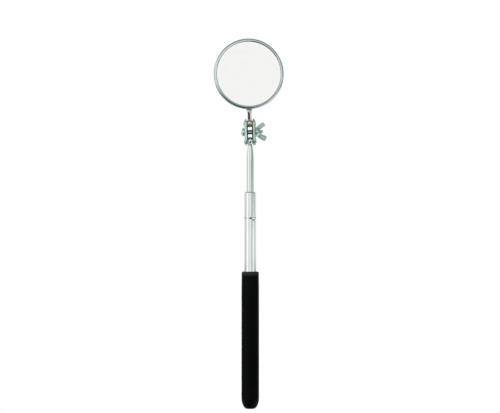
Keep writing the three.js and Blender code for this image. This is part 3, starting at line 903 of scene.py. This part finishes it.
def wing_ear(degrees, reach, tip_half_width):
    """One ear: a ribbed, tapered blade whose flat faces look to the front and back."""
    angle = math.radians(degrees)
    along = Vector((math.cos(angle), 0, math.sin(angle)))
    across = Vector((-math.sin(angle), 0, math.cos(angle)))
    origin = Vector((2, 0, 0))
    start, root_half_width = 4.5, 1.62
    rings = []
    steps = 40
    for step in range(steps + 1):
        t = step / steps
        distance = start + (reach - start) * t
        left = reach - distance
        half_width = root_half_width + (tip_half_width - root_half_width) * min(1, t / 0.6)
        half_width -= rounded_off(left, 0.85)
        half_thick = 1.02 - 0.26 * t - rounded_off(left, 0.45)
        rib_height = 0.11 * min(1, left / 1.2) * min(1, t * 6)
        ring = []
        for a in angles(72):
            u, v = superellipse(a, 4)
            ribs = rib_height * (0.5 + 0.5 * math.cos(u * 3.5 * math.pi))
            point = origin + along * distance + across * (half_width * u)
            ring.append((point.x, (half_thick + ribs - 0.1) * v, point.z))
        rings.append(ring)
    first = origin + along * start
    last = origin + along * reach
    return skin("ear", [[tuple(first)], *rings, [tuple(last)]], Matrix.Identity(4))


def superellipse(angle, power):
    """A point of the curve |x|^power + |y|^power = 1."""
    c, s = math.cos(angle), math.sin(angle)
    return math.copysign(abs(c) ** (2 / power), c), math.copysign(abs(s) ** (2 / power), s)


# ---- Mirror head ----

CASE_LOW, CASE_HIGH = local_box("mirror_case", MIRROR_FRAME)
MIRROR_RADIUS = (CASE_HIGH.x - CASE_LOW.x) / 2 - 0.03   # clear of the CAD case's flats
DISC_CENTRE_Z = (CASE_HIGH.z + CASE_LOW.z) / 2
DISC_BACK_Y = CASE_HIGH.y
PADDLE_TOP = local_box("mirror_stud", MIRROR_FRAME)[1].z
WIRE_RADIUS = 1.5875
WELD_RADIUS = 1.25
WELD_DEPTH = 0.22
GLASS_RADIUS = 27.2


def mirror_stud():
    """A wire from the ball, beaten squarer and then flat behind the case, with two weld marks on
    its back. Its end is hollowed to the ball."""
    rim_z = DISC_CENTRE_Z - MIRROR_RADIUS
    foot = 2.62
    # height, half width, half depth, squareness
    knots = [
        (foot, 1.7, 1.7, 2.0), (3.1, WIRE_RADIUS, WIRE_RADIUS, 2.0), (4.2, WIRE_RADIUS, WIRE_RADIUS, 3.6),
        (rim_z - 3.4, WIRE_RADIUS, WIRE_RADIUS, 3.6), (rim_z - 1.6, 1.95, 1.52, 3.6),
        (rim_z - 0.3, 2.45, 1.4, 3.4), (rim_z + 0.8, 2.8, 0.66, 3.2), (rim_z + 4, 3.6, 0.65, 3.2),
        (PADDLE_TOP - 2.4, 3.6, 0.65, 3.2), (PADDLE_TOP - 0.9, 2.9, 0.62, 2.8),
        (PADDLE_TOP - 0.25, 1.7, 0.5, 2.4), (PADDLE_TOP, 0.5, 0.3, 2.0),
    ]
    welds = [PADDLE_TOP - 3.4, PADDLE_TOP - 7.6]
    rows = 110
    rings = [[(0, 0, BALL_RADIUS - 0.02)]]
    for row in range(rows + 1):
        z = foot + (PADDLE_TOP - foot) * row / rows
        width, depth, power = section_at(knots, z)
        ring = []
        for a in angles(128):
            u, v = superellipse(a, power)
            x, y = width * u, depth * v
            if y > 0.3:
                for weld_z in welds:
                    off = math.hypot(x, z - weld_z) / WELD_RADIUS
                    y -= WELD_DEPTH * math.sqrt(max(0, 1 - off ** 2))
            ring.append((x, y, z))
        rings.append(ring)
    rings.append([(0, 0, PADDLE_TOP)])
    return skin("mirror_stud_detail", rings, MIRROR_FRAME, sharp=60)


def section_at(knots, z):
    """Smoothly interpolated (half width, half depth, exponent) at a height."""
    for low, high in zip(knots, knots[1:]):
        if z <= high[0]:
            t = max(0, (z - low[0]) / (high[0] - low[0]))
            t = t * t * (3 - 2 * t)
            return tuple(a + (b - a) * t for a, b in zip(low[1:], high[1:]))
    return knots[-1][1:]


def disc_frame():
    """The disc's own frame: its axis to the front, z = 0 on the case's back."""
    tip = Matrix.Rotation(math.pi / 2, 4, "X")
    return MIRROR_FRAME @ Matrix.Translation((0, DISC_BACK_Y * MM, DISC_CENTRE_Z * MM)) @ tip


def lathe_disc(name, outline, sides=288, sharp=40):
    return lathe(name, outline, disc_frame(), sides, sharp)


def mirror_case():
    """A spun cup: pressed back, rounded corner, straight side and a rolled-in bead."""
    wall, corner = 0.5, 1.15
    inside = MIRROR_RADIUS - wall
    bead_foot, bead_rise, bead_out, bead_in = 3.65, 1.1, 1.7, 0.58
    crest = MIRROR_RADIUS - bead_out
    outline = [
        (0, 0.0), (12.0, 0.0),
        *press_ring(15.2), *press_ring(23.4),
        *arc(MIRROR_RADIUS - corner, corner, corner - 0.05, corner, -90, 0, 12),
        (MIRROR_RADIUS - 0.05, 2.0), (MIRROR_RADIUS - 0.03, 2.6),
        *arc(crest, bead_foot, bead_out, bead_rise, 3, 90, 22),
        *arc(crest, bead_foot, bead_in, bead_rise, 90, 176, 14)[1:],
        *softened([
            (crest - bead_in, bead_foot - 0.02), (MIRROR_RADIUS - 2.05, bead_foot - 0.1, 0.1),
            (inside, bead_foot - 0.02, 0.2), (inside, wall, 0.4), (0, wall),
        ]),
    ]
    return lathe_disc("mirror_case_detail", outline)


def press_ring(radius):
    """A shallow round-bottomed ring pressed into the case's back."""
    depth, half_width = 0.28, 1.1
    steps = [i / 8 - 1 for i in range(17)]
    return [(radius + half_width * t, depth * math.cos(t * math.pi / 2) ** 2) for t in steps]


def backing_pad():
    outline = softened([(0, 0.6), (GLASS_RADIUS, 0.6, 0.3), (GLASS_RADIUS, 1.4, 0.3), (0, 1.4)])
    return lathe_disc("backing_pad_detail", outline, sides=128)


def mirror_glass():
    """A plate of mirror glass with a ground and polished front edge."""
    r, back, front = GLASS_RADIUS, 1.5, 3.5
    outline = softened([
        (0, back), (r, back, 0.15), (r, front - 0.4, 0.12), (r - 1.1, front, 0.1), (r - 1.4, front),
        (r - 3, front), (0, front),
    ])
    return lathe_disc("mirror_glass_detail", outline, sides=256, sharp=6)


# ---- Assembly ----


def add(piece, body, node, material):
    """Gives a piece its material and its body, and hides the CAD node that it stands for."""
    piece.data.materials.append(material)
    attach(piece, body)
    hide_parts(node)


tube_chrome = drawn_chrome("tube_chrome", (0.87, 0.88, 0.885))
inner_chrome = drawn_chrome("inner_chrome", (0.78, 0.86, 0.79))
# one zinc finish for both plates, painted paler on the left plate and darker on the right: painted light
# and shade
painted_lit_zinc = zinc("zinc_plate_left_painted_lit", (0.86, 1.0, 0.98), (0.68, 0.86, 0.82), (0.95, 1.0, 1.0))
painted_shaded_zinc = zinc("zinc_plate_right_painted_shade", (0.64, 0.81, 0.69), (0.46, 0.66, 0.53), (0.75, 0.90, 0.78))
pin_nickel = nickel("pin_nickel", (0.80, 0.77, 0.75), (0.66, 0.60, 0.57), HANDLE_FRAME)
# the balls are one nickel: painted reflections tint the lower one green and the upper one warm yellow
lower_nickel_green_reflection = nickel("lower_ball_nickel", (0.88, 0.98, 0.92), (0.76, 0.86, 0.79), LOWER_BALL_FRAME)
upper_nickel_warm_reflection = nickel("upper_ball_nickel", (0.82, 0.76, 0.63), (0.70, 0.61, 0.46), MIRROR_FRAME)
stud_nickel = nickel("stud_nickel", (1.0, 0.89, 0.86), (0.96, 0.84, 0.79), MIRROR_FRAME, painted_dark_stripe=True)
bolt_zinc = bright_zinc("zinc_bolt_painted_shade", (0.77, 0.92, 0.87), (0.57, 0.75, 0.69), 0.24, painted_shade_between_plates=True)
washer_zinc = bright_zinc("washer_zinc", (0.50, 0.66, 0.60), (0.36, 0.5, 0.44), 0.3)
cast_zinc = bright_zinc("cast_zinc", (0.66, 0.85, 0.75), (0.44, 0.64, 0.54), 0.34, rubbed=True)
spring_brass = brass()
white_nylon = nylon()

add(grip_sleeve(), "handle", "grip_sleeve", vinyl())
add(outer_tube(), "handle", "outer_tube", tube_chrome)
add(end_plug(), "handle", "end_plug", white_nylon)
add(guide_bushing(), "handle", "guide_bushing", white_nylon)
for end, base in zip(("lower", "upper"), COLLAR_BASES):
    collar = friction_collar(end, base)
    add(collar, "sliding_collars", f"friction_collar_{end}", spring_brass)
add(inner_tube(), "tube", "inner_tube", inner_chrome)
add(ball_pin(), "tube", "ball_pin", pin_nickel)
lower_ball = ball("lower_ball_detail", LOWER_BALL_FRAME, True)
add(lower_ball, "rod_ball", "lower_ball", lower_nickel_green_reflection)
left_plate = clamp_plate("clamp_plate_left_detail", -1, "square")
add(left_plate, "clamp", "clamp_plate_left", painted_lit_zinc)
right_plate = clamp_plate("clamp_plate_right_detail", 1, "round")
add(right_plate, "loose_plate", "clamp_plate_right", painted_shaded_zinc)
add(clamp_bolt(), "clamp", "clamp_bolt", bolt_zinc)
add(nut_washer(), "loose_plate", "nut_washer", washer_zinc)
add(wing_nut(), "nut", "wing_nut", cast_zinc)
upper_ball = ball("upper_ball_detail", MIRROR_FRAME, False)
add(upper_ball, "stud_ball", "upper_ball", upper_nickel_warm_reflection)
add(mirror_stud(), "mirror_head", "mirror_stud", stud_nickel)
add(mirror_case(), "mirror_head", "mirror_case", spun_chrome())
add(backing_pad(), "mirror_head", "backing_pad", felt())
add(mirror_glass(), "mirror_head", "mirror_glass", mirror())

# ---- Stage: floor, surroundings, lights and camera ----

FLOOR_Z = -0.3
FLOOR_RADII = (0, 0.4, 1.2, 2.7)
CAMERA_PLACE = (-0.0002, -2.0, 0.1085)
LENS_MM = 177.3
SENSOR_MM = 36
LIGHT_TARGET = (0, 0, 0.1)
LIGHT_SIZE = (1.4, 1.4)


def floor():
    """A plain pale disc that mirrors don't see."""
    outline = [(radius / MM, FLOOR_Z / MM) for radius in FLOOR_RADII]
    made = lathe("floor", outline, Matrix.Identity(4), sides=96)
    glow = {"Emission_Color": (1, 1, 1, 1), "Emission_Strength": 0.3}
    made.data.materials.append(Finish("floor_paper", (0.86, 0.86, 0.86), 0, 0.9, **glow).material)
    made.visible_glossy = False


# The studio round the object, as reflections and light see it: soft cards by azimuth from the
# camera's side, to the right, and by elevation, in degrees. Each is (azimuths), softness,
# (elevations), softness, brightness, tint, and later ones lie on top.
NEUTRAL = (1.0, 1.0, 1.0)
LILAC = (1.0, 0.98, 1.03)
TEAL = (0.92, 1.0, 1.01)
NIGHT = (0.40, 1.0, 0.97)
MOSS = (0.86, 1.0, 0.96)
ALL_ROUND = (-220, 220)
ANY_HEIGHT = (-100, 100)
WALL_BRIGHTNESS = 0.82
CARDS = [
    ((-125, -88), 12, ANY_HEIGHT, 1, 0.70, LILAC),         # grey wall on the left
    ((-68, -46), 12, ANY_HEIGHT, 1, 1.25, NEUTRAL),        # tall strip light on the left
    ((-30, -6), 8, ANY_HEIGHT, 1, 0.88, LILAC),            # wall left of the camera
    ((-2, 8), 7, ANY_HEIGHT, 1, 1.0, TEAL),                # narrow strip beside the camera
    ((22, 106), 12, ANY_HEIGHT, 1, 0.60, TEAL),            # grey-green wall on the right
    ((22, 112), 14, (0.6, 90), 0.8, 0.42, TEAL),           # its upper part
    ((48, 86), 10, (-1.7, -0.3), 0.5, 1.12, NEUTRAL),      # low reflector on the right
    (ALL_ROUND, 1, (34, 100), 20, 0.33, MOSS),             # ceiling
    ((6, 18), 6, (32, 46), 6, 0.62, (0.9, 0.85, 1.35)),    # a small violet lamp in it
    ((-16, 34), 16, (-100, -6), 6, 0.06, NIGHT),           # dark table top, in front
    ((-64, -16), 20, (-100, -26), 16, 0.10, NIGHT),        # and to the left
    ((-220, -104), 10, (-8, -1.5), 0.2, 0.04, NIGHT),      # its far edge, behind
    ((104, 220), 10, (-8, -1.5), 0.2, 0.04, NIGHT),
    ((40, 118), 12, (-100, -12), 12, 1.0, NEUTRAL),        # pale paper on it, to the right
    ((20, 100), 10, (-15, -7), 2, 0.25, NIGHT),            # the table's edge before the paper
    ((6, 30), 2, (2, 20), 2, 0.965, (1.0, 1.0, 0.985)),    # soft box that the mirror looks at
]


def surroundings():
    """A soft studio made of cards; the camera itself sees plain white behind the object."""
    world = bpy.data.worlds.new("studio")
    bpy.context.scene.world = world
    world.use_nodes = True
    world.node_tree.nodes.clear()
    studio = Nodes(world.node_tree)

    def between(value, limits, soft):
        low, high = limits
        above = studio.ramp(value, low - soft / 2, low + soft / 2)
        return studio.product(above, studio.ramp(value, high + soft / 2, high - soft / 2))

    split = studio.node("ShaderNodeSeparateXYZ")
    studio.link(studio.node("ShaderNodeTexCoord").outputs["Generated"], split.inputs[0])
    x, y, z = split.outputs
    azimuth = studio.math("DEGREES", studio.math("ARCTAN2", x, studio.product(y, -1)))
    elevation = studio.math("DEGREES", studio.math("ARCSINE", z))

    shade = (WALL_BRIGHTNESS, WALL_BRIGHTNESS, WALL_BRIGHTNESS)
    for turns, side_soft, heights, height_soft, brightness, tint in CARDS:
        across, up = between(azimuth, turns, side_soft), between(elevation, heights, height_soft)
        shade = studio.mix(studio.product(across, up), shade, tuple(brightness * c for c in tint))

    seen = studio.node("ShaderNodeLightPath").outputs["Is Camera Ray"]
    background = studio.node("ShaderNodeBackground")
    studio.link(studio.mix(seen, shade, (1.0, 1.0, 1.0)), background.inputs["Color"])
    studio.link(background.outputs[0], studio.node("ShaderNodeOutputWorld").inputs["Surface"])


def area_light(name, location, watts):
    light = bpy.data.lights.new(name, "AREA")
    light.shape = "RECTANGLE"
    light.size, light.size_y = LIGHT_SIZE
    light.energy = watts
    made = bpy.data.objects.new(name, light)
    made.location = location
    towards = Vector(LIGHT_TARGET) - Vector(location)
    made.rotation_euler = towards.to_track_quat("-Z", "Y").to_euler()
    made.visible_glossy = False
    bpy.context.scene.collection.objects.link(made)


def camera():
    """A long lens, level and square to the object."""
    data = bpy.data.cameras.new("camera")
    data.sensor_width = SENSOR_MM
    data.lens = LENS_MM
    data.clip_start = 0.05
    made = bpy.data.objects.new("camera", data)
    made.location = CAMERA_PLACE
    made.rotation_euler = (math.pi / 2, 0, 0)
    bpy.context.scene.collection.objects.link(made)
    bpy.context.scene.camera = made


floor()
surroundings()
area_light("key", (-1.6, -1.6, 1.6), 12)
area_light("fill", (1.7, -1.0, 1.2), 6)
camera()
bpy.context.scene.view_settings.view_transform = "Standard"
bpy.context.scene.view_settings.look = "None"
